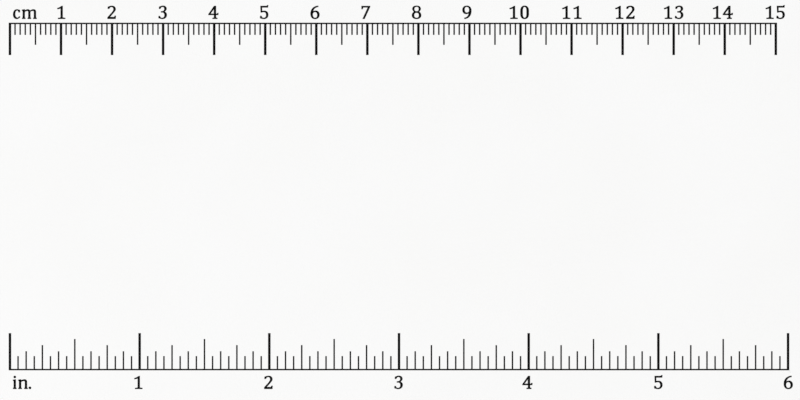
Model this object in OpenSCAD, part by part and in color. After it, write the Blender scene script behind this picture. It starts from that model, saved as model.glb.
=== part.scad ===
// Desk ruler: a flat white plate with a metric scale along its rear edge and an inch scale
// along its front edge. Both scales start at the same zero and their lines point inwards, so
// that a thing laid on the bare middle of the plate is read against both.
//
// Frame: X runs along the scales, Y across the plate and Z up. The origin is at the middle of
// the plate, on the surface that the feet stand on. Sizes are in millimetres.
//
// Every line is an engraved groove, and the paint in it is a solid of its own that sits a
// little below the plate's face.

/* [Plate] */
// Length of the plate, along the scales
plate_l = 160; // [80:1:320]
// Width of the plate, across the scales
plate_w = 82; // [50:1:150]
// Thickness of the plate
plate_t = 3; // [2:0.5:6]
// Radius of the plate's four corners, seen from above
corner_r = 3; // [1.5:0.5:8]
// Round-over along the plate's top and bottom edges
edge_r = 0.5; // [0.2:0.1:0.9]

/* [Scales] */
// Distance from the plate's left end to the zero of both scales
zero_margin = 3.8; // [2:0.1:10]
// Least distance from the last line of a scale to the plate's right end
end_margin = 3.5; // [1:0.1:10]
// Distance from the plate's long edge to the outside of a scale's baseline
baseline_inset = 6.95; // [4:0.05:12]
// Width of the baselines and of the fine lines
fine_w = 0.3; // [0.1:0.05:0.4]
// Width of the whole centimetre and whole inch lines
bold_w = 0.5; // [0.3:0.05:0.7]

/* [Metric lines] */
// Length of a centimetre line, from the outside of the baseline
centimetre_line = 6.35; // [5:0.05:9]
// Length of a half centimetre line
half_centimetre_line = 4.35; // [3:0.05:5]
// Length of a millimetre line
millimetre_line = 2.4; // [1.5:0.05:3]

/* [Inch lines] */
// Length of an inch line, from the outside of the baseline
inch_line = 7.3; // [6:0.05:9]
// Length of a half inch line
half_inch_line = 6.15; // [5.5:0.05:6.5]
// Length of a quarter inch line
quarter_inch_line = 4.95; // [4.5:0.05:5.5]
// Length of an eighth inch line
eighth_inch_line = 3.75; // [3.3:0.05:4.5]
// Length of a sixteenth inch line
sixteenth_inch_line = 2.8; // [2:0.05:3.3]

/* [Engraving] */
// Depth of the engraved grooves
groove_depth = 0.25; // [0.15:0.05:0.5]
// How far the paint lies below the plate's face
paint_sink = 0.02; // [0.01:0.01:0.1]

/* [Feet] */
// Diameter of a rubber foot
foot_d = 10; // [6:0.5:16]
// Height of the plate's underside above the surface that the ruler lies on
foot_proud = 1; // [0.5:0.1:3]
// Round-over at the bottom of a foot
foot_edge_r = 0.5; // [0.2:0.1:0.7]
// Depth of the round pocket that seats a foot
pocket_depth = 0.8; // [0.4:0.1:1.2]
// Gap between a foot and the wall of its pocket
pocket_clearance = 0.2; // [0.1:0.05:0.5]
// Chamfer round the mouth of a pocket
pocket_chamfer = 0.2; // [0.1:0.05:0.3]
// Number of ring grooves that give the bottom of a foot its grip
grip_rings = 2; // [1:1:3]
// Width of a ring groove
grip_ring_w = 0.5; // [0.3:0.1:0.7]
// Depth of a ring groove
grip_ring_depth = 0.2; // [0.1:0.05:0.3]
// Thickness of the adhesive disc between a foot and its pocket
adhesive_t = 0.15; // [0.1:0.05:0.3]
// How much smaller the adhesive disc is than the foot, all round
adhesive_inset = 0.3; // [0.1:0.1:1]
// Distance from the plate's edges to the middle of a foot
foot_inset = 12; // [9:0.5:20]

/* [Hidden] */
$fn = 64;
CENTIMETRE = 10;
INCH = 25.4;
// How far a cutter runs past the face that it cuts
cut_over = 1;

plate_bottom = foot_proud;
plate_top = plate_bottom + plate_t;
pocket_floor = plate_bottom + pocket_depth;
paint_floor = plate_top - groove_depth;
paint_t = groove_depth - paint_sink;
foot_h = pocket_floor - adhesive_t;
// The round-over of a foot stays within its height
foot_fillet = min(foot_edge_r, foot_h / 2);
zero_x = zero_margin - plate_l / 2;
// The most that a scale can measure on this plate
scale_room = plate_l - zero_margin - end_margin;

// A scale is [its unit, the divisions between two lines of each rank, the length of the lines
// of each rank, the side of the plate that it is on]. The lines of rank 0 mark whole units, and
// those of the last rank mark single divisions.
METRIC_SCALE = [
  CENTIMETRE,
  [10, 5, 1],
  [centimetre_line, half_centimetre_line, millimetre_line],
  1
];
INCH_SCALE = [
  INCH,
  [16, 8, 4, 2, 1],
  [inch_line, half_inch_line, quarter_inch_line, eighth_inch_line, sixteenth_inch_line],
  -1
];
METRIC_RANKS = ["centimetre_lines", "half_centimetre_lines", "millimetre_lines"];
INCH_RANKS = ["inch_lines", "half_inch_lines", "quarter_inch_lines", "eighth_inch_lines",
              "sixteenth_inch_lines"];
// The feet, as a name and the side of the plate that each is on along X and Y
FEET = [["front_left", -1, -1], ["front_right", 1, -1],
        ["rear_left", -1, 1], ["rear_right", 1, 1]];

function unit(scale) = scale[0];
function steps(scale) = scale[1];
function line_lengths(scale) = scale[2];
function side(scale) = scale[3];
// Length of one division
function pitch(scale) = unit(scale) / steps(scale)[0];
// Divisions of the whole units that fit on the plate
function divisions(scale) = floor(scale_room / unit(scale)) * steps(scale)[0];
// Rank of a division: the first step that it is a multiple of
function rank_of(division, steps, rank = 0) =
  division % steps[rank] == 0 ? rank : rank_of(division, steps, rank + 1);
function line_width(rank) = rank == 0 ? bold_w : fine_w;

// Places its children on a scale: X from the zero, Y inwards from the baseline's outside. The
// rear scale is turned over, so that its Y runs forwards.
module on_scale(scale) {
  turned_over = side(scale) > 0 ? [0, 1] : [0, 0];
  translate([zero_x, side(scale) * (plate_w / 2 - baseline_inset)])
    mirror(turned_over)
      children();
}

// The line that all lines of a scale stand on, out to the far sides of its end lines
module baseline_outline(scale) {
  on_scale(scale)
    translate([-bold_w / 2, 0])
      square([divisions(scale) * pitch(scale) + bold_w, fine_w]);
}

// All lines of one rank, from the baseline's inside to their tips
module rank_outline(scale, rank) {
  width = line_width(rank);
  on_scale(scale)
    for (division = [0 : divisions(scale)])
      if (rank_of(division, steps(scale)) == rank)
        translate([division * pitch(scale) - width / 2, fine_w])
          square([width, line_lengths(scale)[rank] - fine_w]);
}

// The whole comb of a scale, as the engraver cuts it
module scale_outline(scale) {
  baseline_outline(scale);
  for (rank = [0 : len(steps(scale)) - 1])
    rank_outline(scale, rank);
}

// Cuts the grooves of a scale into the plate's face
module scale_grooves(scale) {
  translate([0, 0, paint_floor])
    linear_extrude(groove_depth + cut_over)
      scale_outline(scale);
}

// Fills the outline of its children with paint, from the groove's floor
module paint_fill() {
  color("black")
    translate([0, 0, paint_floor])
      linear_extrude(paint_t)
        children();
}

// Section of the plate's rim: X outwards over the corner radius, Y up through the thickness
module rim_section() {
  square([corner_r - edge_r, plate_t]);
  translate([0, edge_r])
    square([corner_r, plate_t - 2 * edge_r]);
  for (y = [edge_r, plate_t - edge_r])
    translate([corner_r - edge_r, y])
      circle(edge_r);
}

// One straight side of the rim, centred, facing +X
module rim_side(length) {
  rotate([90, 0, 0])
    linear_extrude(length, center = true)
      rim_section();
}

module plate_blank() {
  inner_l = plate_l - 2 * corner_r;
  inner_w = plate_w - 2 * corner_r;
  translate([-inner_l / 2, -inner_w / 2, 0])
    cube([inner_l, inner_w, plate_t]);
  for (turn = [0, 180])
    rotate(turn) {
      translate([inner_l / 2, 0, 0])
        rim_side(inner_w);
      rotate(90)
        translate([inner_w / 2, 0, 0])
          rim_side(inner_l);
      translate([inner_l / 2, inner_w / 2, 0])
        rotate_extrude(angle = 90)
          rim_section();
      translate([-inner_l / 2, inner_w / 2, 0])
        rotate(90)
          rotate_extrude(angle = 90)
            rim_section();
    }
}

// Places its children under one corner of the plate
module at_foot(foot) {
  translate([foot[1] * (plate_l / 2 - foot_inset), foot[2] * (plate_w / 2 - foot_inset), 0])
    children();
}

module foot_pocket() {
  pocket_d = foot_d + 2 * pocket_clearance;
  mouth_h = pocket_chamfer + cut_over;
  translate([0, 0, plate_bottom - cut_over]) {
    cylinder(d = pocket_d, h = pocket_depth + cut_over);
    cylinder(d1 = pocket_d + 2 * mouth_h, d2 = pocket_d, h = mouth_h);
  }
}

module plate() {
  color("white")
    difference() {
      translate([0, 0, plate_bottom])
        plate_blank();
      scale_grooves(METRIC_SCALE);
      scale_grooves(INCH_SCALE);
      for (foot = FEET)
        at_foot(foot)
          foot_pocket();
    }
}

// Half section of a foot with a plain bottom
module foot_section() {
  radius = foot_d / 2;
  square([radius - foot_fillet, foot_h]);
  translate([0, foot_fillet])
    square([radius, foot_h - foot_fillet]);
  translate([radius - foot_fillet, foot_fillet])
    circle(foot_fillet);
}

module foot() {
  // The rings divide the flat of the bottom evenly
  ring_pitch = (foot_d / 2 - foot_fillet) / (grip_rings + 1);
  color([0.1, 0.1, 0.1])
    rotate_extrude()
      difference() {
        foot_section();
        for (ring = [1 : grip_rings])
          translate([ring * ring_pitch - grip_ring_w / 2, -cut_over])
            square([grip_ring_w, grip_ring_depth + cut_over]);
      }
}

module adhesive() {
  color([0.75, 0.75, 0.72])
    translate([0, 0, foot_h])
      cylinder(d = foot_d - 2 * adhesive_inset, h = adhesive_t);
}

module baseline(scale) {
  paint_fill()
    baseline_outline(scale);
}

module rank_lines(scale, rank) {
  paint_fill()
    rank_outline(scale, rank);
}

plate();
baseline(METRIC_SCALE);  // metric_baseline
baseline(INCH_SCALE);  // inch_baseline
for (rank = [0 : len(METRIC_RANKS) - 1])
  rank_lines(METRIC_SCALE, rank);
for (rank = [0 : len(INCH_RANKS) - 1])
  rank_lines(INCH_SCALE, rank);
for (foot = FEET) {
  at_foot(foot) foot();
  at_foot(foot) adhesive();
}
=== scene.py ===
"""Looks of a flat white ruler plate with a metric scale and an inch scale.

The plate is modelled new here, because its numerals and unit signs are engraved in its face as
the scales' lines are. The lines' paint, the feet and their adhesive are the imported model's own
pieces, and are given their finishes.
"""

import logging
import math
from collections.abc import Callable
from dataclasses import dataclass, field
from enum import Enum
from functools import reduce

import bmesh
import bpy
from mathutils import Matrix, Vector


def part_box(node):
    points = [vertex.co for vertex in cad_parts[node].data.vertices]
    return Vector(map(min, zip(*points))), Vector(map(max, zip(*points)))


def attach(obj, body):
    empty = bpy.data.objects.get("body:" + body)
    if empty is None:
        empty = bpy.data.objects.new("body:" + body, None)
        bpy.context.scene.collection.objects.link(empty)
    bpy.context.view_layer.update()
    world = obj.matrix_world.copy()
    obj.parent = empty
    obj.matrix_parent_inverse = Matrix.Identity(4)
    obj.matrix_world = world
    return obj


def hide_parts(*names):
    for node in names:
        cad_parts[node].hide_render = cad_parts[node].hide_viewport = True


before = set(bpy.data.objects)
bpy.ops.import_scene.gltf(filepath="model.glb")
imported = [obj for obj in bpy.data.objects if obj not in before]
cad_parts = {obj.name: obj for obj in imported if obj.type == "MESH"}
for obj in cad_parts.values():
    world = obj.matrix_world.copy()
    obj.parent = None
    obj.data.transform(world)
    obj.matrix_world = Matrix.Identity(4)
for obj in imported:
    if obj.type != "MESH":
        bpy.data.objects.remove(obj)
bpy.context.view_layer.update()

log = logging.getLogger("ruler")

MM = 0.001
BODY = "root"


class Slot(Enum):
    """Material slot names for the new pieces, which nothing in the script uses."""

    PLASTIC = "white_plastic"
    PAINT = "black_paint"


# Modelling by hand

# Vertices that are nearer to each other than this are one
SAME_PLACE = 0.0002 * MM
# A place that is nearer to a plane than this lies in it
IN_PLANE = 0.01 * MM
# A face looks down where its normal's Z is below this
LOOKS_DOWN = -0.9


class Mode(Enum):
    """What an edit selects."""

    VERTICES = "VERT"
    EDGES = "EDGE"
    FACES = "FACE"


Element = bmesh.types.BMVert | bmesh.types.BMEdge | bmesh.types.BMFace


def deselect_all() -> None:
    """Leaves edit mode and selects nothing."""
    if bpy.context.object and bpy.context.object.mode != "OBJECT":
        bpy.ops.object.mode_set(mode="OBJECT")
    bpy.ops.object.select_all(action="DESELECT")


def pick(*pieces: bpy.types.Object) -> None:
    """Selects these objects alone, and makes the first the active one.

    Args:
        pieces: the objects to work on.
    """
    deselect_all()
    for piece in pieces:
        piece.select_set(True)
    bpy.context.view_layer.objects.active = pieces[0]


def add_new(operator: Callable[..., set[str]], name: str, **settings: object) -> bpy.types.Object:
    """Adds an object, with everything else deselected.

    Args:
        operator: the operator that adds it.
        name: what the object and its data are called.
        settings: the operator's settings, such as a size and a place.

    Returns:
        The new object.
    """
    deselect_all()
    operator(**settings)
    added = bpy.context.object
    added.name = name
    added.data.name = name
    return added


def start_edit(piece: bpy.types.Object, mode: Mode) -> None:
    """Opens a piece in edit mode with nothing selected.

    Args:
        piece: the mesh object to edit.
        mode: what is selected next.
    """
    pick(piece)
    bpy.ops.object.mode_set(mode="EDIT")
    bpy.ops.mesh.select_mode(type=mode.value)
    bpy.ops.mesh.select_all(action="DESELECT")


def end_edit() -> None:
    """Goes back to object mode."""
    bpy.ops.object.mode_set(mode="OBJECT")


def edit_where(piece: bpy.types.Object, mode: Mode, wanted: Callable[[Element], bool]) -> None:
    """Opens a piece in edit mode with some of its vertices, edges or faces selected.

    Args:
        piece: the mesh object to edit.
        mode: which of the three are selected.
        wanted: says of one of them whether it is selected.
    """
    start_edit(piece, mode)
    shape = bmesh.from_edit_mesh(piece.data)
    elements = {Mode.VERTICES: shape.verts, Mode.EDGES: shape.edges, Mode.FACES: shape.faces}
    for element in elements[mode]:
        element.select_set(wanted(element))
    if mode is Mode.VERTICES:
        shape.select_flush(True)
    bmesh.update_edit_mesh(piece.data)


def rise(edge: bmesh.types.BMEdge) -> float:
    """Returns how much higher one end of an edge is than the other."""
    return abs(edge.verts[0].co.z - edge.verts[1].co.z)


def settle(piece: bpy.types.Object) -> None:
    """Moves a piece's place, turn and scale into its mesh."""
    pick(piece)
    bpy.ops.object.transform_apply(location=True, rotation=True, scale=True)


def weld(piece: bpy.types.Object) -> None:
    """Merges a closed mesh's doubles and points its faces outwards.

    Args:
        piece: the mesh object to weld.
    """
    start_edit(piece, Mode.VERTICES)
    bpy.ops.mesh.select_all(action="SELECT")
    bpy.ops.mesh.remove_doubles(threshold=SAME_PLACE)
    bpy.ops.mesh.normals_make_consistent(inside=False)
    end_edit()


def copy_of(source: bpy.types.Object, name: str) -> bpy.types.Object:
    """Copies an object with a mesh of its own.

    Args:
        source: the mesh object to copy, which is left as it is.
        name: what the copy is called.

    Returns:
        The copy, merged where its faces meet.
    """
    copy = bpy.data.objects.new(name, source.data.copy())
    bpy.context.scene.collection.objects.link(copy)
    weld(copy)
    return copy


def join(pieces: list[bpy.types.Object]) -> bpy.types.Object:
    """Joins objects into the first of them.

    Args:
        pieces: the mesh objects to join.

    Returns:
        The joined object.
    """
    pick(*pieces)
    bpy.ops.object.join()
    return pieces[0]


def modify(piece: bpy.types.Object, kind: str, **settings: object) -> None:
    """Adds a modifier to a piece and applies it.

    Args:
        piece: the mesh object.
        kind: the modifier's type.
        settings: values of its properties.
    """
    pick(piece)
    bpy.ops.object.modifier_add(type=kind)
    modifier = piece.modifiers[-1]
    for name, setting in settings.items():
        setattr(modifier, name, setting)
    bpy.ops.object.modifier_apply(modifier=modifier.name)


def subtract(piece: bpy.types.Object, cutter: bpy.types.Object) -> None:
    """Cuts a closed cutter's shape out of a piece and removes the cutter."""
    modify(piece, "BOOLEAN", operation="DIFFERENCE", solver="EXACT", object=cutter)
    bpy.data.objects.remove(cutter, do_unlink=True)


# Outlines of the numerals and signs


@dataclass(frozen=True)
class Knot:
    """A point of an outline. Headings are in degrees, and a side without one is straight."""

    x: float
    y: float
    arrive: float | None = None
    leave: float | None = None

    def turned(self, width: float, height: float) -> "Knot":
        """Returns the knot turned half round, in a box of this width and height."""
        headings = [None if h is None else h + 180 for h in (self.arrive, self.leave)]
        return Knot(width - self.x, height - self.y, *headings)


Contour = list[Knot]
Point = tuple[float, float]


def bend(x: float, y: float, heading: float) -> Knot:
    """Returns a knot that the outline passes smoothly on one heading."""
    return Knot(x, y, heading, heading)


def step_on(heading: float) -> Vector:
    """Returns a step of length 1 on a heading."""
    return Vector((math.cos(math.radians(heading)), math.sin(math.radians(heading))))


@dataclass(frozen=True)
class Glyph:
    """A drawn numeral or letter. A numeral is 100 units high."""

    width: float
    contours: list[Contour]


class Curl:
    """The curve between two knots, fuller than a circle's arc."""

    # Length of a handle at a quarter turn, in radii: in these curves, and in a circle
    FULLNESS = 0.61
    CIRCLE = 0.5523
    # A smaller turn than this counts as none
    STRAIGHT = 1e-3
    # A curve that turns by more than the first angle, or turns back, gets handles of a third of
    # its chord and as many points as a turn by the second angle
    WIDEST_TURN = math.radians(150)
    OPEN_TURN = math.radians(60)
    # Turn from one of the curve's points to the next
    STEP = math.radians(6)

    def __init__(self, start: Knot, end: Knot) -> None:
        """Finds the curve's two handles.

        Args:
            start: the knot that the curve leaves.
            end: the knot that it arrives at.
        """
        self.start = Vector((start.x, start.y))
        self.end = Vector((end.x, end.y))
        out = step_on(start.leave)
        into = step_on(end.arrive)
        chord = self.end - self.start
        cross = out.x * into.y - out.y * into.x
        self.turn = abs(math.atan2(cross, out.dot(into)))
        reach_out = reach_in = chord.length / 2
        if abs(cross) > self.STRAIGHT:
            reach_out = (chord.x * into.y - chord.y * into.x) / cross
            reach_in = (out.x * chord.y - out.y * chord.x) / cross
        if reach_out <= 0 or reach_in <= 0 or self.turn > self.WIDEST_TURN:
            reach_out = reach_in = chord.length / 3
            self.turn = self.OPEN_TURN
        else:
            share = 2 / 3
            if self.turn > self.STRAIGHT:
                share = 4 / 3 * math.tan(self.turn / 4) / math.tan(self.turn / 2)
            reach_out *= share * self.FULLNESS / self.CIRCLE
            reach_in *= share * self.FULLNESS / self.CIRCLE
        self.first_handle = self.start + out * reach_out
        self.second_handle = self.end - into * reach_in

    def points(self) -> list[Point]:
        """Samples the curve.

        Returns:
            Its points from the start up to the one before the end.
        """
        steps = max(2, math.ceil(self.turn / self.STEP))
        found = []
        for step in range(steps):
            t = step / steps
            s = 1 - t
            place = s ** 3 * self.start + 3 * s * s * t * self.first_handle
            place += 3 * s * t * t * self.second_handle + t ** 3 * self.end
            found.append((place.x, place.y))
        return found


def trace(contour: Contour) -> list[Point]:
    """Follows a closed contour.

    Args:
        contour: the knots in order.

    Returns:
        The outline's points, close together where it bends.
    """
    points = []
    for index, start in enumerate(contour):
        end = contour[(index + 1) % len(contour)]
        if start.leave is None or end.arrive is None:
            points.append((start.x, start.y))
        else:
            points += Curl(start, end).points()
    return points


def oval(left: float, right: float, low: float, high: float) -> Contour:
    """Draws an upright oval, clockwise as every outer outline.

    Args:
        left: its left side.
        right: its right side.
        low: its bottom.
        high: its top.

    Returns:
        The oval's four knots.
    """
    x = (left + right) / 2
    y = (low + high) / 2
    return [bend(left, y, 90), bend(x, high, 0), bend(right, y, 270), bend(x, low, 180)]


def eye(left: float, right: float, low: float, high: float) -> Contour:
    """Draws an oval hole, which is an oval followed counter-clockwise, as every hole."""
    first, *others = oval(left, right, low, high)
    return [bend(knot.x, knot.y, (knot.leave + 180) % 360) for knot in (first, *reversed(others))]


def distance_to(points: list[Point], place: Vector) -> float:
    """Measures how far a place is from a closed outline.

    Args:
        points: the outline's points.
        place: the place.

    Returns:
        The distance to the nearest of the outline's sides.
    """
    nearest = math.inf
    for index, point in enumerate(points):
        start = Vector(points[index - 1])
        side = Vector(point) - start
        share = (place - start).dot(side) / side.length_squared
        closest = start + side * min(1.0, max(0.0, share))
        nearest = min(nearest, (place - closest).length)
    return nearest


# A corner's point moves by the weight over the cosine of half the corner's turn. The cosine
# counts as no less than this, which cuts a sharp corner short.
OUTER_CORNER = 0.5
INNER_CORNER = 0.1
# A moved point that is nearer to the old outline than this share of the weight has crossed over
CROSSED_OVER = 0.995


def thickened(points: list[Point], weight: float) -> list[Point]:
    """Moves an outline to its left, which is away from the ink on outer outlines and holes alike.

    An outer corner is cut short at twice the weight. Points that would cross over at a tight
    inner corner are left out.

    Args:
        points: the outline's points.
        weight: how far it moves.

    Returns:
        The outline of the heavier stroke.
    """
    moved = []
    for index, point in enumerate(points):
        here = Vector(point)
        back = (here - Vector(points[index - 1])).normalized()
        on = (Vector(points[(index + 1) % len(points)]) - here).normalized()
        between = (Vector((-back.y, back.x)) + Vector((-on.y, on.x))).normalized()
        least = OUTER_CORNER if back.cross(on) < 0 else INNER_CORNER
        spread = max(least, between.dot(Vector((-on.y, on.x))))
        place = here + between * weight / spread
        if distance_to(points, place) > CROSSED_OVER * weight:
            moved.append((place.x, place.y))
    return moved


def left_foot(stem: float, reach: float) -> Contour:
    """Returns the foot on a stem's left side, upwards, which reaches out from that side."""
    return [Knot(stem - reach, 0), Knot(stem - reach, 5, leave=3), Knot(stem, 12, arrive=80)]


def right_foot(stem: float, reach: float) -> Contour:
    """Returns the foot on a stem's right side, downwards, which reaches out from that side."""
    return [Knot(stem, 12, leave=280), Knot(stem + reach, 5, arrive=357), Knot(stem + reach, 0)]


class Lettering:
    """The numerals and letters of the scales, drawn in strokes with small feet."""

    # Height of a numeral before its strokes are thickened, and how much that adds on each side
    HEIGHT = 100
    WEIGHT = 2.75
    # Width of the cell that a digit stands in, and the gap between a sign's letters
    CELL = 86.5
    LETTER_GAP = 18
    # Width of a small letter's stem, reach of its feet beside the stem, and its height
    STEM = 13
    FOOT = 5
    X_HEIGHT = 73

    def __init__(self) -> None:
        """Draws every numeral and letter once."""
        self.glyphs = {
            "0": self.zero(),
            "1": self.one(),
            "2": self.two(),
            "3": self.three(),
            "4": self.four(),
            "5": self.five(),
            "6": Glyph(66, self.six(56)),
            "7": self.seven(),
            "8": self.eight(),
            "9": Glyph(66, [[knot.turned(66, 101) for knot in contour] for contour in self.six(50)]),
            "c": self.letter_c(),
            "m": Glyph(109, [self.arches(3, 43)]),
            "n": Glyph(68, [self.arches(2, 45)]),
            "i": self.letter_i(),
            ".": Glyph(9, [oval(-7, 9, -1, 15)]),
        }

    def zero(self) -> Glyph:
        """Draws the numeral 0."""
        outline = [bend(0, 36, 90), bend(0, 65, 90), bend(31, 102, 0), bend(62, 65, 270)]
        outline += [bend(62, 36, 270), bend(31, -1, 180)]
        window = [bend(15, 65, 270), bend(15, 36, 270), bend(31, 5.5, 0), bend(47, 36, 90)]
        window += [bend(47, 65, 90), bend(31, 95.5, 180)]
        return Glyph(62, [outline, window])

    def one(self) -> Glyph:
        """Draws the numeral 1."""
        outline = left_foot(25, 20)
        outline += [Knot(25, 86, leave=218), Knot(1, 77, arrive=192), Knot(-1, 83, leave=15)]
        outline += [Knot(32, 100, arrive=38), Knot(38, 100)]
        outline += right_foot(38, 20)
        return Glyph(53, [outline])

    def two(self) -> Glyph:
        """Draws the numeral 2."""
        outline = [Knot(1.5, 0), Knot(1.5, 10, leave=49), bend(33.5, 47, 52), bend(47.5, 74, 90)]
        outline += [bend(31, 94.5, 180), Knot(13, 80, arrive=250), Knot(4, 80), Knot(4, 93, leave=28)]
        outline += [bend(34, 101, 0), bend(62, 75.5, 270), bend(43.5, 44, 230), Knot(15, 12, arrive=225)]
        outline += [Knot(48, 12, leave=0), Knot(57, 22, arrive=75), Knot(63, 22), Knot(61.5, 0)]
        return Glyph(63, [outline])

    def three(self) -> Glyph:
        """Draws the numeral 3."""
        outline = [Knot(5, 80), Knot(5, 93, leave=28), bend(33, 102, 0), bend(60, 79, 270)]
        outline += [Knot(42, 56, 210, 340), bend(62, 31, 270), bend(28, -1, 180)]
        outline += [Knot(1, 6, arrive=162), Knot(2, 20), Knot(9, 20, leave=285), bend(27, 5, 0)]
        outline += [bend(47, 28, 90), bend(30, 51, 180), Knot(20, 51), Knot(20, 57)]
        outline += [Knot(25, 57, leave=8), bend(46, 77, 90), bend(31, 95.5, 180), Knot(13, 80, arrive=250)]
        return Glyph(62, [outline])

    def four(self) -> Glyph:
        """Draws the numeral 4."""
        outline = left_foot(43, 11)
        outline += [Knot(43, 30.5), Knot(0, 30.5), Knot(0, 36), Knot(43, 100), Knot(55.5, 100)]
        outline += [Knot(55.5, 38), Knot(66, 38), Knot(68.5, 44), Knot(74, 44), Knot(73, 31)]
        outline += [Knot(55.5, 31)] + right_foot(55.5, 10.5)
        window = [Knot(43, 38), Knot(43, 83), Knot(11.5, 38)]
        return Glyph(74, [outline, window])

    def five(self) -> Glyph:
        """Draws the numeral 5."""
        outline = [Knot(5, 51), Knot(3, 100), Knot(46, 100, leave=5), Knot(54, 106, arrive=60)]
        outline += [Knot(60, 106), Knot(58, 90.5), Knot(12, 90.5), Knot(13, 59, leave=14)]
        outline += [bend(32, 61.5, 0), bend(60.5, 31, 270), bend(27, -1, 180), Knot(0, 5, arrive=162)]
        outline += [Knot(1, 21), Knot(8, 21, leave=290), bend(26, 5, 0), bend(47, 29, 90)]
        outline += [bend(28, 54, 180), Knot(11, 51, arrive=200)]
        return Glyph(61, [outline])

    def six(self, reach: float) -> list[Contour]:
        """Draws the numeral 6.

        Args:
            reach: how far its top stroke runs to the right.

        Returns:
            The contours of the stroke and of the bowl.
        """
        stroke = [bend(33, -1, 180), bend(0, 38, 90), Knot(reach, 101.5, arrive=6)]
        stroke += [Knot(reach + 1, 95, leave=188), Knot(16, 53, 262, 40), bend(38, 62.5, 0)]
        stroke += [bend(66, 31, 270)]
        bowl = [bend(14, 33, 270), bend(34, 5, 0), bend(52, 29, 90), bend(34, 54.5, 180)]
        return [stroke, bowl]

    def seven(self) -> Glyph:
        """Draws the numeral 7."""
        outline = [Knot(4, 77), Knot(4, 99.5), Knot(67, 99.5), Knot(67, 94), Knot(25, 0), Knot(13, 0)]
        outline += [Knot(53, 91), Knot(19, 91, leave=180), Knot(10, 77, arrive=262)]
        return Glyph(67, [outline])

    def eight(self) -> Glyph:
        """Draws the numeral 8."""
        outline = [bend(34, 102, 0), bend(65, 78, 270), Knot(51, 54, 228, 335), bend(68, 27, 270)]
        outline += [bend(34, -1, 180), bend(0, 26, 90), Knot(16.5, 54, 28, 132), bend(3, 78, 90)]
        return Glyph(69, [outline, eye(15.5, 52.5, 57, 96.5), eye(14, 54, 5, 49)])

    def letter_c(self) -> Glyph:
        """Draws the letter c."""
        outline = [bend(0, 34, 90), bend(30, self.X_HEIGHT, 0), Knot(50, 68, arrive=345), Knot(50, 52)]
        outline += [Knot(42, 52, leave=100), bend(29, 67, 180), bend(13.5, 37, 270), bend(33, 6, 0)]
        outline += [Knot(47, 18, arrive=50), Knot(52, 14, leave=228), bend(27, -1, 180)]
        return Glyph(51, [outline])

    def letter_i(self) -> Glyph:
        """Draws the letter i."""
        stem = self.FOOT
        outline = left_foot(stem, self.FOOT) + self.flag(stem) + right_foot(stem + self.STEM, self.FOOT)
        return Glyph(23, [outline, oval(4, 19, 86, 101)])

    def flag(self, stem: float) -> Contour:
        """Returns the slanted top of a small letter's stem, from its left to its right side."""
        knots = [Knot(stem, 57, leave=95), Knot(stem - 6, 65, arrive=175), Knot(stem - 6, 70, leave=10)]
        return knots + [Knot(stem + self.STEM, self.X_HEIGHT, arrive=6)]

    def arches(self, stems: int, pitch: float) -> Contour:
        """Draws a letter of stems under arches, as n and m are.

        Args:
            stems: how many stems it has.
            pitch: the distance from one stem to the next.

        Returns:
            The letter's outline.
        """
        stem, foot, top = self.STEM, self.FOOT, self.X_HEIGHT
        places = [foot + index * pitch for index in range(stems)]
        outline = left_foot(foot, foot) + self.flag(foot)
        outline += [Knot(foot + stem, 63, leave=38)]
        for x in places[1:-1]:
            outline += [bend(x - 3, top, 0), Knot(x + stem - 2, 62, 305, 38)]
        outline += [bend(places[-1] - 3, top, 0), bend(places[-1] + stem, 54, 270)]
        for x in reversed(places[1:]):
            if x != places[-1]:
                outline += [Knot(x + stem, 56, arrive=218)]
            outline += right_foot(x + stem, foot) + left_foot(x, foot)
            outline += [bend(x, 53, 90), bend(x - 10, 63.5, 180)]
        outline += [Knot(foot + stem, 55, arrive=215)] + right_foot(foot + stem, foot)
        return outline

    def number(self, text: str) -> list[list[Point]]:
        """Sets a number in equal cells, centred on x = 0.

        Args:
            text: the number's digits.

        Returns:
            The contours of all its digits.
        """
        found = []
        for place, digit in enumerate(text):
            glyph = self.glyphs[digit]
            left = (place + 0.5 - len(text) / 2) * self.CELL - glyph.width / 2
            found += self.shifted(glyph, left)
        return found

    def sign(self, text: str) -> list[list[Point]]:
        """Sets a unit sign from x = 0 to the right.

        Args:
            text: the sign's letters.

        Returns:
            The contours of all its letters.
        """
        found = []
        left = 0.0
        for letter in text:
            glyph = self.glyphs[letter]
            found += self.shifted(glyph, left)
            left += glyph.width + self.LETTER_GAP
        return found

    def shifted(self, glyph: Glyph, left: float) -> list[list[Point]]:
        """Returns a glyph's traced contours, with its left side at a place."""
        outlines = [thickened(trace(contour), self.WEIGHT) for contour in glyph.contours]
        return [[(x + left, y) for x, y in outline] for outline in outlines]


# Shared shader effects

Socket = bpy.types.NodeSocket
Value = Socket | float | tuple[float, ...]
Inputs = dict[str | int, Value]

# The middle of a noise between 0 and 1, and the part of its range that it seldom leaves
NOISE_MIDDLE = 0.5
NOISE_SPAN = (0.3, 0.7)


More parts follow.
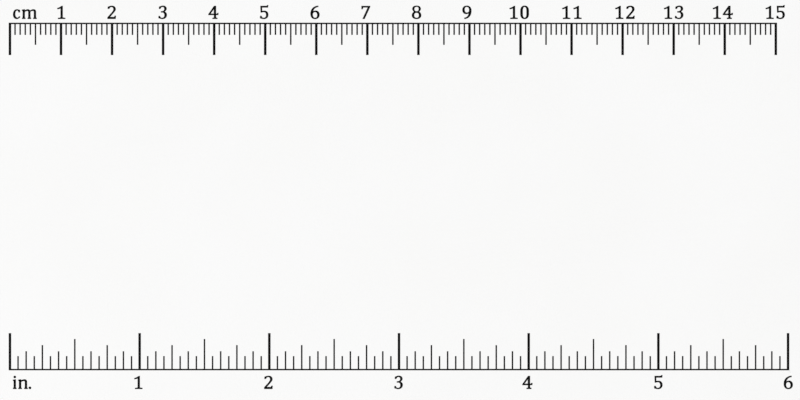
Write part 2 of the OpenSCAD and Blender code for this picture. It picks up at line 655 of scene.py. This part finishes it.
class Graph:
    """Adds and joins the nodes of one node tree."""

    def __init__(self, tree: bpy.types.NodeTree) -> None:
        """Keeps the tree to work in."""
        self.tree = tree

    def feed(self, socket: Socket, value: Value) -> None:
        """Gives an input its value or its link.

        Args:
            socket: the input.
            value: a number, a colour, or the output that feeds it.
        """
        if isinstance(value, Socket):
            self.tree.links.new(value, socket)
        else:
            socket.default_value = value

    def add(self, kind: str, inputs: Inputs | None = None, **settings: object) -> bpy.types.Node:
        """Adds a node.

        Args:
            kind: the node's type.
            inputs: values of its inputs, by name or number.
            settings: values of its properties.

        Returns:
            The node.
        """
        node = self.tree.nodes.new(kind)
        for name, setting in settings.items():
            setattr(node, name, setting)
        for name, value in (inputs or {}).items():
            self.feed(node.inputs[name], value)
        return node

    def math(self, operation: str, *values: Value) -> Socket:
        """Returns a Math node's output."""
        return self.add("ShaderNodeMath", dict(enumerate(values)), operation=operation).outputs[0]

    def total(self, *terms: tuple[Value, float], start: float = 0.0) -> Socket:
        """Adds up values, each times its share.

        Args:
            terms: each value with its share.
            start: a number that they are added to.

        Returns:
            The sum.
        """
        found = start
        for value, share in terms:
            found = self.math("MULTIPLY_ADD", value, share, found)
        return found

    def product(self, *values: Value) -> Socket:
        """Returns the product of values."""
        return reduce(lambda first, second: self.math("MULTIPLY", first, second), values)

    def ramp(self, value: Value, low: float, high: float, at_low: float = 0, at_high: float = 1) -> Socket:
        """Carries a value smoothly from one range to another, and holds it level past both ends."""
        inputs = {"Value": value, "From Min": low, "From Max": high, "To Min": at_low, "To Max": at_high}
        return self.add("ShaderNodeMapRange", inputs, interpolation_type="SMOOTHSTEP").outputs["Result"]

    def blend(self, share: Value, first: Value, second: Value) -> Socket:
        """Mixes two colours.

        Args:
            share: how much of the second there is.
            first: the first colour.
            second: the second colour.

        Returns:
            The mixed colour.
        """
        node = self.add("ShaderNodeMix", data_type="RGBA", blend_type="MIX")
        self.feed(node.inputs[0], share)
        self.feed(node.inputs[6], first)
        self.feed(node.inputs[7], second)
        return node.outputs[2]


class Effect(Graph):
    """A shader node group with named inputs and outputs, built once for all finishes."""

    # Strength of each finer noise beside the one that it is laid over
    NOISE_ROUGHNESS = 0.55

    def __init__(self, name: str) -> None:
        """Makes the empty group, which takes the place on the piece.

        Args:
            name: what the group is called.
        """
        super().__init__(bpy.data.node_groups.new(name, "ShaderNodeTree"))
        self.way_in = self.tree.nodes.new("NodeGroupInput")
        self.way_out = self.tree.nodes.new("NodeGroupOutput")
        self.place = self.takes("Place", (0.0, 0.0, 0.0))

    def takes(self, name: str, usual: float | tuple[float, float, float]) -> Socket:
        """Adds a number or a vector that each finish may set.

        Args:
            name: what the input is called.
            usual: its value where a finish leaves it.

        Returns:
            The number or the vector inside the group.
        """
        kind = "NodeSocketVector" if isinstance(usual, tuple) else "NodeSocketFloat"
        socket = self.tree.interface.new_socket(name=name, in_out="INPUT", socket_type=kind)
        socket.default_value = usual
        return self.way_in.outputs[name]

    def gives(self, name: str, value: Socket) -> None:
        """Adds an output of this name, and what it puts out."""
        self.tree.interface.new_socket(name=name, in_out="OUTPUT", socket_type="NodeSocketFloat")
        self.tree.links.new(value, self.way_out.inputs[name])

    def noise(self, waves: Value, detail: float, place: Value | None = None) -> Socket:
        """Lays a noise between 0 and 1 over the piece.

        Args:
            waves: its waves a metre.
            detail: how many finer noises are laid over it.
            place: where it is read, where that isn't the place on the piece.

        Returns:
            The noise.
        """
        place = self.place if place is None else place
        inputs = {"Vector": place, "Scale": waves, "Detail": detail, "Roughness": self.NOISE_ROUGHNESS}
        return self.add("ShaderNodeTexNoise", inputs).outputs["Fac"]

    def streaks(self, turn: float, along: float, across: float, detail: float) -> Socket:
        """Lays a noise between 0 and 1 over the piece, stretched into streaks.

        Args:
            turn: the streaks' angle to the X axis, in degrees.
            along: waves a metre along the streaks.
            across: waves a metre across them.
            detail: how many finer noises are laid over it.

        Returns:
            The noise.
        """
        inputs = {"Vector": self.place, "Rotation": (0.0, 0.0, math.radians(-turn))}
        turned = self.add("ShaderNodeMapping", inputs, vector_type="POINT").outputs[0]
        inputs = {0: turned, 1: (along, across, across)}
        stretched = self.add("ShaderNodeVectorMath", inputs, operation="MULTIPLY").outputs[0]
        return self.noise(waves=1.0, detail=detail, place=stretched)


class Grain(Effect):
    """The fine skin of a moulded or painted surface."""

    # Waves of the coarse grain to one wave of the fine grain
    COARSE_WAVES = 0.17

    def __init__(self) -> None:
        """Builds the group: a height for bump and a slow drift of tone."""
        super().__init__("fine_grain")
        size = self.takes("Size", 0.3 * MM)
        waves = self.math("DIVIDE", 1.0, size)
        fine = self.noise(waves=waves, detail=3.0)
        coarse = self.noise(waves=self.product(waves, self.COARSE_WAVES), detail=2.0)
        self.gives("Height", self.total((fine, 0.65), (coarse, 0.35)))
        self.gives("Drift", self.ramp(self.noise(waves=38.0, detail=3.0), *NOISE_SPAN))


class Handling(Effect):
    """What use leaves on a hard surface: soft smudges, and hairline scratches where it is level."""

    # Half the width of a scratch, and how far its patch takes to fade in, as noise values
    SCRATCH_WIDTH = 0.012
    PATCH_FADE = 0.05

    def __init__(self) -> None:
        """Builds the group: masks of the smudges and of the scratches."""
        super().__init__("handling_marks")
        normal = self.takes("Normal", (0.0, 0.0, 1.0))
        amount = self.takes("Amount", 1.0)
        broad = self.noise(waves=26.0, detail=4.0)
        small = self.noise(waves=130.0, detail=3.0)
        smudge = self.ramp(self.total((broad, 0.7), (small, 0.3)), low=0.47, high=0.62)
        self.gives("Smudge", self.product(smudge, amount))
        along = self.scratches(turn=4.0, along=14.0, across=1500.0, rarity=0.58)
        slanted = self.scratches(turn=-21.0, along=22.0, across=1900.0, rarity=0.62)
        steep = self.scratches(turn=67.0, along=30.0, across=2100.0, rarity=0.64)
        most = self.math("MAXIMUM", self.math("MAXIMUM", along, slanted), steep)
        upright = self.add("ShaderNodeSeparateXYZ", {0: normal}).outputs[2]
        level = self.ramp(self.math("ABSOLUTE", upright), low=0.95, high=0.995)
        self.gives("Scratch", self.product(most, level, amount))

    def scratches(self, turn: float, along: float, across: float, rarity: float) -> Socket:
        """Draws hairline scratches that run one way, in patches.

        Args:
            turn: their angle to the X axis, in degrees.
            along: waves a metre along them, which sets their length.
            across: waves a metre across them, which sets how close they lie.
            rarity: how rare their patches are, between 0.4 and 0.7.

        Returns:
            The mask of the scratches.
        """
        lines = self.streaks(turn, along, across, detail=0.0)
        off_line = self.math("ABSOLUTE", self.math("SUBTRACT", lines, NOISE_MIDDLE))
        hair = self.ramp(off_line, low=0.0, high=self.SCRATCH_WIDTH, at_low=1.0, at_high=0.0)
        patches = self.streaks(turn, along=18.0, across=45.0, detail=1.0)
        return self.product(hair, self.ramp(patches, low=rarity, high=rarity + self.PATCH_FADE))


class RimWear(Effect):
    """Rubbing on the rounded rims and corners of a flat plate."""

    def __init__(self) -> None:
        """Builds the group: a mask that is full on the rims and fades out beside them."""
        super().__init__("rim_wear")
        half_length = self.takes("Half Length", 80.0 * MM)
        half_width = self.takes("Half Width", 41.0 * MM)
        corner = self.takes("Corner Radius", 3.0 * MM)
        middle = self.takes("Middle Height", 2.5 * MM)
        half_thickness = self.takes("Half Thickness", 1.5 * MM)
        reach = self.takes("Reach", 0.9 * MM)
        apart = self.add("ShaderNodeSeparateXYZ", {0: self.place})
        x = self.past_the_corner(apart.outputs[0], half_length, corner)
        y = self.past_the_corner(apart.outputs[1], half_width, corner)
        to_side = self.math("SUBTRACT", corner, self.length(x, y))
        off_middle = self.math("ABSOLUTE", self.math("SUBTRACT", apart.outputs[2], middle))
        to_face = self.math("SUBTRACT", half_thickness, off_middle)
        off_rim = self.math("DIVIDE", self.length(to_side, to_face), reach)
        rim = self.ramp(off_rim, low=0.25, high=1.0, at_low=1.0, at_high=0.0)
        patches = self.ramp(self.noise(waves=160.0, detail=4.0), low=0.4, high=0.62)
        nicks = self.ramp(self.noise(waves=1400.0, detail=2.0), low=0.55, high=0.7)
        self.gives("Wear", self.product(rim, self.math("MAXIMUM", patches, nicks)))

    def past_the_corner(self, along: Value, half: Value, corner: Value) -> Socket:
        """Returns how far a place on one axis lies past the start of a corner's arc, or 0."""
        start = self.math("SUBTRACT", half, corner)
        return self.math("MAXIMUM", self.math("SUBTRACT", self.math("ABSOLUTE", along), start), 0.0)

    def length(self, x: Value, y: Value) -> Socket:
        """Returns the length of a step of x and y."""
        return self.math("SQRT", self.math("ADD", self.product(x, x), self.product(y, y)))


class Dust(Effect):
    """Pale dust and lint on a dull dark surface."""

    def __init__(self) -> None:
        """Builds the group: a mask of thin dust with brighter specks."""
        super().__init__("dust")
        amount = self.takes("Amount", 1.0)
        film = self.ramp(self.noise(waves=420.0, detail=4.0), low=0.42, high=0.75)
        specks = self.ramp(self.noise(waves=5200.0, detail=1.0), low=0.68, high=0.74)
        cover = self.total((film, 0.25), (specks, 0.55))
        self.gives("Dust", self.math("MINIMUM", self.product(cover, amount), 1.0))


@dataclass(frozen=True)
class Effects:
    """The shared effects, each built once."""

    grain: Grain = field(default_factory=Grain)
    handling: Handling = field(default_factory=Handling)
    rim_wear: RimWear = field(default_factory=RimWear)
    dust: Dust = field(default_factory=Dust)


class Surface(Graph):
    """A material with its shader, and the place on the piece that its effects read."""

    def __init__(self, name: str) -> None:
        """Makes the material.

        Args:
            name: what the material is called.
        """
        self.material = bpy.data.materials.new(name)
        self.material.use_nodes = True
        super().__init__(self.material.node_tree)
        self.shader = self.tree.nodes["Principled BSDF"]
        spot = self.add("ShaderNodeTexCoord").outputs
        self.place = spot["Object"]
        self.normal = spot["Normal"]

    def effect(self, effect: Effect, **inputs: Value) -> bpy.types.bpy_prop_collection:
        """Adds a shared effect on this surface.

        Args:
            effect: the shared effect.
            inputs: values by input name, with _ for the blanks in their names.

        Returns:
            The effect's outputs.
        """
        node = self.add("ShaderNodeGroup", {"Place": self.place}, node_tree=effect.tree)
        for name, value in inputs.items():
            self.feed(node.inputs[name.replace("_", " ").title()], value)
        return node.outputs

    def roughen(self, height: Value, strength: float, depth: float) -> None:
        """Gives the surface a relief, by its height from 0 to 1, its strength and its real depth."""
        bump = self.add("ShaderNodeBump", {"Height": height, "Strength": strength, "Distance": depth})
        self.feed(self.shader.inputs["Normal"], bump.outputs["Normal"])

    def set(self, **inputs: Value) -> None:
        """Sets the shader's inputs.

        Args:
            inputs: values by input name, with _ for the blanks in their names.
        """
        real_names = {name.lower().replace(" ", "_"): name for name in self.shader.inputs.keys()}
        for name, value in inputs.items():
            self.feed(self.shader.inputs[real_names[name]], value)


Colour = tuple[float, float, float, float]


# Finishes


@dataclass(frozen=True)
class SatinPlastic:
    """White satin sheet plastic, a little duller where it is handled and polished at the rims."""

    white: Colour = (0.95, 0.95, 0.948, 1.0)
    aged: Colour = (0.942, 0.941, 0.936, 1.0)
    rubbed: Colour = (0.80, 0.795, 0.775, 1.0)
    rubbed_share: float = 0.45
    roughness: float = 0.42
    smudge_dulls: float = 0.07
    scratch_dulls: float = 0.10
    rub_polishes: float = 0.12
    grain_size: float = 0.28 * MM
    scratch_depth: float = 0.15
    relief: float = 1.0
    relief_depth: float = 0.035 * MM

    def dress(self, effects: Effects) -> bpy.types.Material:
        """Builds the plastic.

        Args:
            effects: the shared effects.

        Returns:
            The material.
        """
        surface = Surface("satin_white_plastic")
        grain = surface.effect(effects.grain, size=self.grain_size)
        marks = surface.effect(effects.handling, normal=surface.normal)
        wear = surface.effect(effects.rim_wear)["Wear"]
        tone = surface.blend(grain["Drift"], self.white, self.aged)
        rubbed = surface.product(wear, self.rubbed_share)
        surface.set(base_color=surface.blend(rubbed, tone, self.rubbed))
        rough = surface.total(
            (marks["Smudge"], self.smudge_dulls),
            (marks["Scratch"], self.scratch_dulls),
            (wear, -self.rub_polishes),
            start=self.roughness,
        )
        surface.set(roughness=rough)
        height = surface.total((grain["Height"], 1.0), (marks["Scratch"], -self.scratch_depth))
        surface.roughen(height, self.relief, self.relief_depth)
        return surface.material


@dataclass(frozen=True)
class LinePaint:
    """Matt black paint, wiped into the grooves."""

    black: Colour = (0.0012, 0.0012, 0.0012, 1.0)
    thin: Colour = (0.003, 0.003, 0.0031, 1.0)
    roughness: float = 0.62
    roughness_spread: float = 0.5
    specular: float = 0.04
    grain_size: float = 0.07 * MM
    relief: float = 0.5
    relief_depth: float = 0.01 * MM

    def dress(self, effects: Effects) -> bpy.types.Material:
        """Builds the paint.

        Args:
            effects: the shared effects.

        Returns:
            The material.
        """
        surface = Surface("matt_black_paint")
        grain = surface.effect(effects.grain, size=self.grain_size)
        surface.set(base_color=surface.blend(grain["Drift"], self.black, self.thin))
        off_middle = surface.math("SUBTRACT", grain["Height"], NOISE_MIDDLE)
        rough = surface.total((off_middle, self.roughness_spread), start=self.roughness)
        surface.set(roughness=rough, specular_ior_level=self.specular)
        surface.roughen(grain["Height"], self.relief, self.relief_depth)
        return surface.material


@dataclass(frozen=True)
class MouldedRubber:
    """Black moulded rubber with a dull skin and a little dust."""

    black: Colour = (0.026, 0.026, 0.028, 1.0)
    bloom: Colour = (0.042, 0.042, 0.044, 1.0)
    dust: Colour = (0.34, 0.33, 0.31, 1.0)
    dust_amount: float = 0.6
    roughness: tuple[float, float] = (0.66, 0.84)
    specular: float = 0.4
    grain_size: float = 0.16 * MM
    relief: float = 0.6
    relief_depth: float = 0.03 * MM

    def dress(self, effects: Effects) -> bpy.types.Material:
        """Builds the rubber.

        Args:
            effects: the shared effects.

        Returns:
            The material.
        """
        surface = Surface("moulded_black_rubber")
        grain = surface.effect(effects.grain, size=self.grain_size)
        dust = surface.effect(effects.dust, amount=self.dust_amount)["Dust"]
        skin = surface.blend(grain["Drift"], self.black, self.bloom)
        surface.set(base_color=surface.blend(dust, skin, self.dust))
        rough = surface.ramp(grain["Height"], *NOISE_SPAN, *self.roughness)
        surface.set(roughness=rough, specular_ior_level=self.specular)
        surface.roughen(grain["Height"], self.relief, self.relief_depth)
        return surface.material


@dataclass(frozen=True)
class PaleAdhesive:
    """Pale pressure-sensitive adhesive, a little uneven in its thickness."""

    thick: Colour = (0.58, 0.565, 0.51, 1.0)
    thin: Colour = (0.66, 0.65, 0.62, 1.0)
    roughness: tuple[float, float] = (0.28, 0.44)
    grain_size: float = 0.5 * MM
    relief: float = 0.4
    relief_depth: float = 0.03 * MM

    def dress(self, effects: Effects) -> bpy.types.Material:
        """Builds the adhesive.

        Args:
            effects: the shared effects.

        Returns:
            The material.
        """
        surface = Surface("pale_adhesive")
        height = surface.effect(effects.grain, size=self.grain_size)["Height"]
        surface.set(base_color=surface.blend(height, self.thick, self.thin))
        surface.set(roughness=surface.ramp(height, *NOISE_SPAN, *self.roughness))
        surface.roughen(height, self.relief, self.relief_depth)
        return surface.material


@dataclass(frozen=True)
class Finishes:
    """The ruler's finishes as materials."""

    plastic: bpy.types.Material
    paint: bpy.types.Material
    rubber: bpy.types.Material
    adhesive: bpy.types.Material


def mix_finishes() -> Finishes:
    """Builds the shared effects and every finish.

    Returns:
        The finishes.
    """
    effects = Effects()
    return Finishes(
        plastic=SatinPlastic().dress(effects),
        paint=LinePaint().dress(effects),
        rubber=MouldedRubber().dress(effects),
        adhesive=PaleAdhesive().dress(effects),
    )


def add_to_ruler(piece: bpy.types.Object, material: bpy.types.Material) -> None:
    """Gives a new piece its finish and body, and reports it.

    Args:
        piece: the finished mesh object.
        material: the finish.
    """
    piece.data.materials.clear()
    piece.data.materials.append(material)
    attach(piece, BODY)
    deselect_all()
    log.info("%s: %d faces, new", piece.name, len(piece.data.polygons))


def dress_node(name: str, material: bpy.types.Material) -> None:
    """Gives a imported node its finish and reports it.

    Args:
        name: the node's name.
        material: the finish.
    """
    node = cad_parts[name]
    if not node.data.materials:
        node.data.materials.append(material)
    for index in range(len(node.data.materials)):
        node.data.materials[index] = material
    log.info("%s: %d faces, packed", name, len(node.data.polygons))


# The ruler's parts


@dataclass
class Inscription:
    """Numerals or a unit sign, engraved in the plate's face and filled with paint."""

    name: str
    contours: list[list[Point]]
    floor: float
    fill_top: float

    def fill(self) -> bpy.types.Object:
        """Models the paint in the engraving.

        Returns:
            The paint, from the engraving's floor to its own top.
        """
        drawn = add_new(bpy.ops.curve.primitive_bezier_circle_add, self.name)
        drawn.data.splines.clear()
        drawn.data.dimensions = "2D"
        drawn.data.fill_mode = "BOTH"
        drawn.data.extrude = (self.fill_top - self.floor) / 2 / MM
        for contour in self.contours:
            spline = drawn.data.splines.new("POLY")
            spline.points.add(len(contour) - 1)
            for point, (x, y) in zip(spline.points, contour):
                point.co = (x, y, 0.0, 1.0)
            spline.use_cyclic_u = True
        pick(drawn)
        bpy.ops.object.convert(target="MESH")
        drawn = bpy.context.object
        drawn.scale = (MM, MM, MM)
        drawn.location.z = (self.floor + self.fill_top) / 2
        settle(drawn)
        weld(drawn)
        drawn.data.name = self.name
        return drawn


@dataclass
class Scale:
    """One scale: its packed lines, and the numerals and unit sign beside them."""

    baseline: str
    ranks: tuple[str, ...]
    unit: float
    name: str
    sign_name: str
    sign: str
    # Where the numerals stand along Y, and how many millimetres each is to the right of its line
    text_base: float
    nudges: tuple[float, ...]
    lettering: Lettering
    numeral_height: float = 2.6 * MM
    numeral_stretch: float = 1.035
    sign_start: float = 0.65 * MM
    units: int = field(init=False)
    zero: float = field(init=False)
    inscriptions: list[bpy.types.Object] = field(init=False, default_factory=list)

    def __post_init__(self) -> None:
        """Counts the whole units and finds the zero, which is the middle of the first line."""
        first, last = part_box(self.ranks[0])
        length = last.x - first.x
        self.units = round(length / self.unit)
        line_width = length - self.units * self.unit
        self.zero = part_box(self.baseline)[0].x + line_width / 2

    def to_plate(self, contours: list[list[Point]], x: float) -> list[list[Point]]:
        """Brings drawn contours to their size and place on the face, in millimetres.

        Args:
            contours: the contours, in the lettering's units.
            x: where their x = 0 goes, in metres.

        Returns:
            The placed contours.
        """
        size = self.numeral_height / (Lettering.HEIGHT + 2 * Lettering.WEIGHT)
        wide = size * self.numeral_stretch
        base = self.text_base + Lettering.WEIGHT * size
        placed = []
        for contour in contours:
            placed.append([((x + px * wide) / MM, (base + py * size) / MM) for px, py in contour])
        return placed

    def engrave(self, finishes: Finishes) -> None:
        """Models the paint of the numerals and of the unit sign.

        Args:
            finishes: the ruler's finishes.
        """
        low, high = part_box(self.baseline)
        numerals = []
        for number, nudge in zip(range(1, self.units + 1), self.nudges):
            middle = self.zero + number * self.unit + nudge * MM
            numerals += self.to_plate(self.lettering.number(str(number)), middle)
        sign = self.to_plate(self.lettering.sign(self.sign), self.zero + self.sign_start)
        for name, contours in ((self.name, numerals), (self.sign_name, sign)):
            piece = Inscription(name, contours, low.z, high.z).fill()
            self.inscriptions.append(piece)
            add_to_ruler(piece, finishes.paint)

    def dress(self, finishes: Finishes) -> None:
        """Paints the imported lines."""
        for name in (self.baseline, *self.ranks):
            dress_node(name, finishes.paint)


# How far above its baseline the metric scale's numerals stand, and how far below its baseline
# the inch scale's stand
METRIC_RISE = 0.71 * MM
INCH_DROP = 3.67 * MM


def measure_scales(lettering: Lettering) -> list[Scale]:
    """Lays out the two scales.

    Args:
        lettering: the drawn numerals and letters.

    Returns:
        The metric scale and the inch scale.
    """
    metric_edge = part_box("metric_baseline")[1].y
    inch_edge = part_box("inch_baseline")[0].y
    metric = Scale(
        baseline="metric_baseline",
        ranks=("centimetre_lines", "half_centimetre_lines", "millimetre_lines"),
        unit=10.0 * MM,
        name="centimetre_numerals",
        sign_name="centimetre_sign",
        sign="cm",
        text_base=metric_edge + METRIC_RISE,
        nudges=(
            0.0, -0.1, -0.1, -0.15, -0.2, -0.25, -0.35, -0.35,
            -0.5, -0.3, 0.0, 0.4, -0.05, -0.5, -0.15,
        ),
        lettering=lettering,
    )
    parts = ("inch", "half_inch", "quarter_inch", "eighth_inch", "sixteenth_inch")
    inch = Scale(
        baseline="inch_baseline",
        ranks=tuple(f"{part}_lines" for part in parts),
        unit=25.4 * MM,
        name="inch_numerals",
        sign_name="inch_sign",
        sign="in.",
        text_base=inch_edge - INCH_DROP,
        nudges=(-0.3, -0.2, -0.1, -0.25, 0.0, 0.05),
        lettering=lettering,
    )
    return [metric, inch]


@dataclass
class Plate:
    """The flat plate with its pockets, grooves and engraved numerals."""

    node: str = "plate"
    corner_radius: float = 3.0 * MM
    edge_radius: float = 0.5 * MM
    corner_segments: int = 16
    edge_segments: int = 6
    pocket_clearance: float = 0.2 * MM
    pocket_chamfer: float = 0.2 * MM
    pocket_segments: int = 96
    cut_over: float = 0.4 * MM
    # How far from a baseline's middle the ends of its lines are looked for, in its widths
    line_end: float = 0.75
    # Faces that meet at less than this look smooth
    smooth_angle: float = math.radians(28)
    low: Vector = field(init=False)
    high: Vector = field(init=False)

    def __post_init__(self) -> None:
        """Takes the plate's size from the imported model."""
        self.low, self.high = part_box(self.node)

    def at_rim(self, edge: bmesh.types.BMEdge) -> bool:
        """Says whether an edge lies in the plane of the plate's face or of its underside."""
        off_plane = min(abs(edge.verts[0].co.z - height) for height in (self.low.z, self.high.z))
        return max(off_plane, rise(edge)) < IN_PLANE

    def blank(self) -> bpy.types.Object:
        """Models the plate before it is engraved.

        Returns:
            The plate, with round corners and rounded rims.
        """
        middle = (self.low + self.high) / 2
        size = self.high - self.low
        cube = bpy.ops.mesh.primitive_cube_add
        blank = add_new(cube, "ruler_plate", size=1.0, location=middle, scale=size)
        settle(blank)
        edit_where(blank, Mode.EDGES, lambda edge: rise(edge) > size.z / 2)
        bpy.ops.mesh.bevel(offset=self.corner_radius, segments=self.corner_segments, affect="EDGES")
        end_edit()
        edit_where(blank, Mode.EDGES, self.at_rim)
        bpy.ops.mesh.bevel(offset=self.edge_radius, segments=self.edge_segments, affect="EDGES")
        end_edit()
        return blank

    def pocket(self, foot: str, adhesive: str) -> bpy.types.Object:
        """Models the cutter of a foot's pocket, with a chamfer at the pocket's mouth.

        Args:
            foot: the node of the foot that it seats.
            adhesive: the node of the foot's adhesive, which lies on the pocket's floor.

        Returns:
            The cutter.
        """
        foot_low, foot_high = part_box(foot)
        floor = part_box(adhesive)[1].z
        mouth = self.low.z + self.pocket_chamfer
        radius = (foot_high.x - foot_low.x) / 2 + self.pocket_clearance
        middle = (foot_low + foot_high) / 2
        cutter = add_new(
            bpy.ops.mesh.primitive_cylinder_add,
            "cutter",
            vertices=self.pocket_segments,
            radius=radius,
            depth=floor - mouth,
            location=(middle.x, middle.y, (floor + mouth) / 2),
        )
        settle(cutter)
        edit_where(cutter, Mode.FACES, lambda face: face.normal.z < LOOKS_DOWN)
        wider = (radius + self.pocket_chamfer) / radius
        for drop, growth in ((self.pocket_chamfer, wider), (self.cut_over, 1.0)):
            bpy.ops.mesh.extrude_region_move(TRANSFORM_OT_translate={"value": (0.0, 0.0, -drop)})
            bpy.ops.transform.resize(value=(growth, growth, 1.0))
        end_edit()
        return cutter

    def raised(self, piece: bpy.types.Object) -> bpy.types.Object:
        """Makes a cutter of a paint filling, by raising its top out of the plate's face.

        Args:
            piece: the paint filling.

        Returns:
            The cutter.
        """
        low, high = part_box("metric_baseline")
        middle = (low.z + high.z) / 2
        cutter = copy_of(piece, "cutter")
        edit_where(cutter, Mode.VERTICES, lambda vertex: vertex.co.z > middle)
        bpy.ops.transform.translate(value=(0.0, 0.0, self.cut_over))
        end_edit()
        return cutter

    def run_into_baseline(self, cutter: bpy.types.Object, baseline: str) -> None:
        """Lengthens a cutter's lines to the middle of the baseline's groove.

        Args:
            cutter: the cutter of one rank of lines.
            baseline: the node of the baseline that the lines stand on.
        """
        low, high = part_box(baseline)
        middle = (low.y + high.y) / 2
        width = high.y - low.y
        near = self.line_end * width
        edit_where(cutter, Mode.VERTICES, lambda vertex: abs(vertex.co.y - middle) < near)
        bpy.ops.transform.translate(value=(0.0, math.copysign(width / 2, middle), 0.0))
        end_edit()

    def build(self, scales: list[Scale], feet: list[tuple[str, str]], finishes: Finishes) -> None:
        """Models the plate.

        Args:
            scales: the two scales, with their numerals made.
            feet: each foot's node and its adhesive's node.
            finishes: the ruler's finishes.
        """
        plate = self.blank()
        deep = [self.pocket(foot, adhesive) for foot, adhesive in feet]
        lines = []
        for scale in scales:
            deep.append(self.raised(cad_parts[scale.baseline]))
            deep += [self.raised(inscription) for inscription in scale.inscriptions]
            for rank in scale.ranks:
                cutter = self.raised(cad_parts[rank])
                self.run_into_baseline(cutter, scale.baseline)
                lines.append(cutter)
        subtract(plate, join(deep))
        subtract(plate, join(lines))
        weld(plate)
        pick(plate)
        bpy.ops.object.shade_smooth_by_angle(angle=self.smooth_angle)
        modify(plate, "WEIGHTED_NORMAL", keep_sharp=True)
        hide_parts(self.node)
        add_to_ruler(plate, finishes.plastic)


@dataclass
class Feet:
    """The four rubber feet and the adhesive that holds them."""

    places: tuple[str, ...] = ("front_left", "front_right", "rear_left", "rear_right")

    def pairs(self) -> list[tuple[str, str]]:
        """Returns each foot's node with its adhesive's node."""
        return [(f"foot_{place}", f"adhesive_{place}") for place in self.places]

    def dress(self, finishes: Finishes) -> None:
        """Gives the feet and the adhesive their finishes.

        Args:
            finishes: the ruler's finishes.
        """
        for foot, adhesive in self.pairs():
            dress_node(foot, finishes.rubber)
            dress_node(adhesive, finishes.adhesive)


# The studio


@dataclass(frozen=True)
class Lamp:
    """A far, wide lamp: the way to it, its share of the light on a level surface, and its width."""

    name: str
    toward: tuple[float, float, float]
    share: float
    degrees_wide: float

    def hang(self) -> None:
        """Hangs the lamp."""
        direction = Vector(self.toward).normalized()
        lamp = add_new(bpy.ops.object.light_add, self.name, type="SUN", location=direction)
        lamp.rotation_euler = direction.to_track_quat("Z", "Y").to_euler()
        lamp.data.energy = self.share * math.pi / direction.z
        lamp.data.angle = math.radians(self.degrees_wide)


@dataclass(frozen=True)
class Studio:
    """A plain pale floor and backdrop, soft even light, and the camera."""

    floor_grey: Colour = (0.70, 0.70, 0.70, 1.0)
    floor_size: float = 60.0
    floor_drop: float = 0.01 * MM
    sky_white: Colour = (1.0, 1.0, 1.0, 1.0)
    sky_share: float = 0.5
    key: Lamp = Lamp("key_lamp", (-0.62, -0.30, 1.0), share=0.38, degrees_wide=22.0)
    fill: Lamp = Lamp("fill_lamp", (0.6, 0.5, 1.0), share=0.12, degrees_wide=40.0)
    lens: float = 120.0
    camera_place: tuple[float, float, float] = (0.000196, -0.000685, 0.5263)
    nearest_seen: float = 0.01

    def lay_floor(self) -> None:
        """Lays the floor that the feet stand on."""
        place = (0.0, 0.0, -self.floor_drop)
        plane = bpy.ops.mesh.primitive_plane_add
        floor = add_new(plane, "studio_floor", size=self.floor_size, location=place)
        paper = Surface("studio_paper")
        paper.set(base_color=self.floor_grey, roughness=1.0, specular_ior_level=0.0)
        floor.data.materials.append(paper.material)

    def light_sky(self) -> None:
        """Lights the scene evenly from all round, in front of a backdrop of the floor's shade."""
        world = bpy.data.worlds.new("studio")
        bpy.context.scene.world = world
        world.use_nodes = True
        sky = Graph(world.node_tree)
        world.node_tree.nodes.clear()
        rays = sky.add("ShaderNodeLightPath").outputs
        seen = sky.math("MAXIMUM", rays["Is Camera Ray"], rays["Is Glossy Ray"])
        seen = sky.math("MAXIMUM", seen, rays["Is Transmission Ray"])
        light = sky.add("ShaderNodeBackground", {"Color": self.sky_white, "Strength": self.sky_share})
        backdrop = sky.add("ShaderNodeBackground", {"Color": self.floor_grey, "Strength": 1.0})
        both = sky.add("ShaderNodeMixShader", {0: seen, 1: light.outputs[0], 2: backdrop.outputs[0]})
        sky.add("ShaderNodeOutputWorld", {"Surface": both.outputs[0]})

    def place_camera(self) -> None:
        """Looks straight down at the middle of the face, as the photograph does."""
        place = self.camera_place
        level = (0.0, 0.0, 0.0)
        camera = add_new(bpy.ops.object.camera_add, "studio_camera", location=place, rotation=level)
        camera.data.lens = self.lens
        camera.data.clip_start = self.nearest_seen
        bpy.context.scene.camera = camera

    def build(self) -> None:
        """Sets up the floor, the sky, the lamps and the camera."""
        bpy.context.scene.view_settings.view_transform = "Standard"
        self.lay_floor()
        self.light_sky()
        self.key.hang()
        self.fill.hang()
        self.place_camera()


def main() -> None:
    """Builds the ruler's looks and the studio round it."""
    logging.basicConfig(level=logging.INFO, format="%(name)s: %(message)s")
    finishes = mix_finishes()
    scales = measure_scales(Lettering())
    feet = Feet()
    for scale in scales:
        scale.engrave(finishes)
        scale.dress(finishes)
    Plate().build(scales, feet.pairs(), finishes)
    feet.dress(finishes)
    Studio().build()


if __name__ == "__main__":
    main()
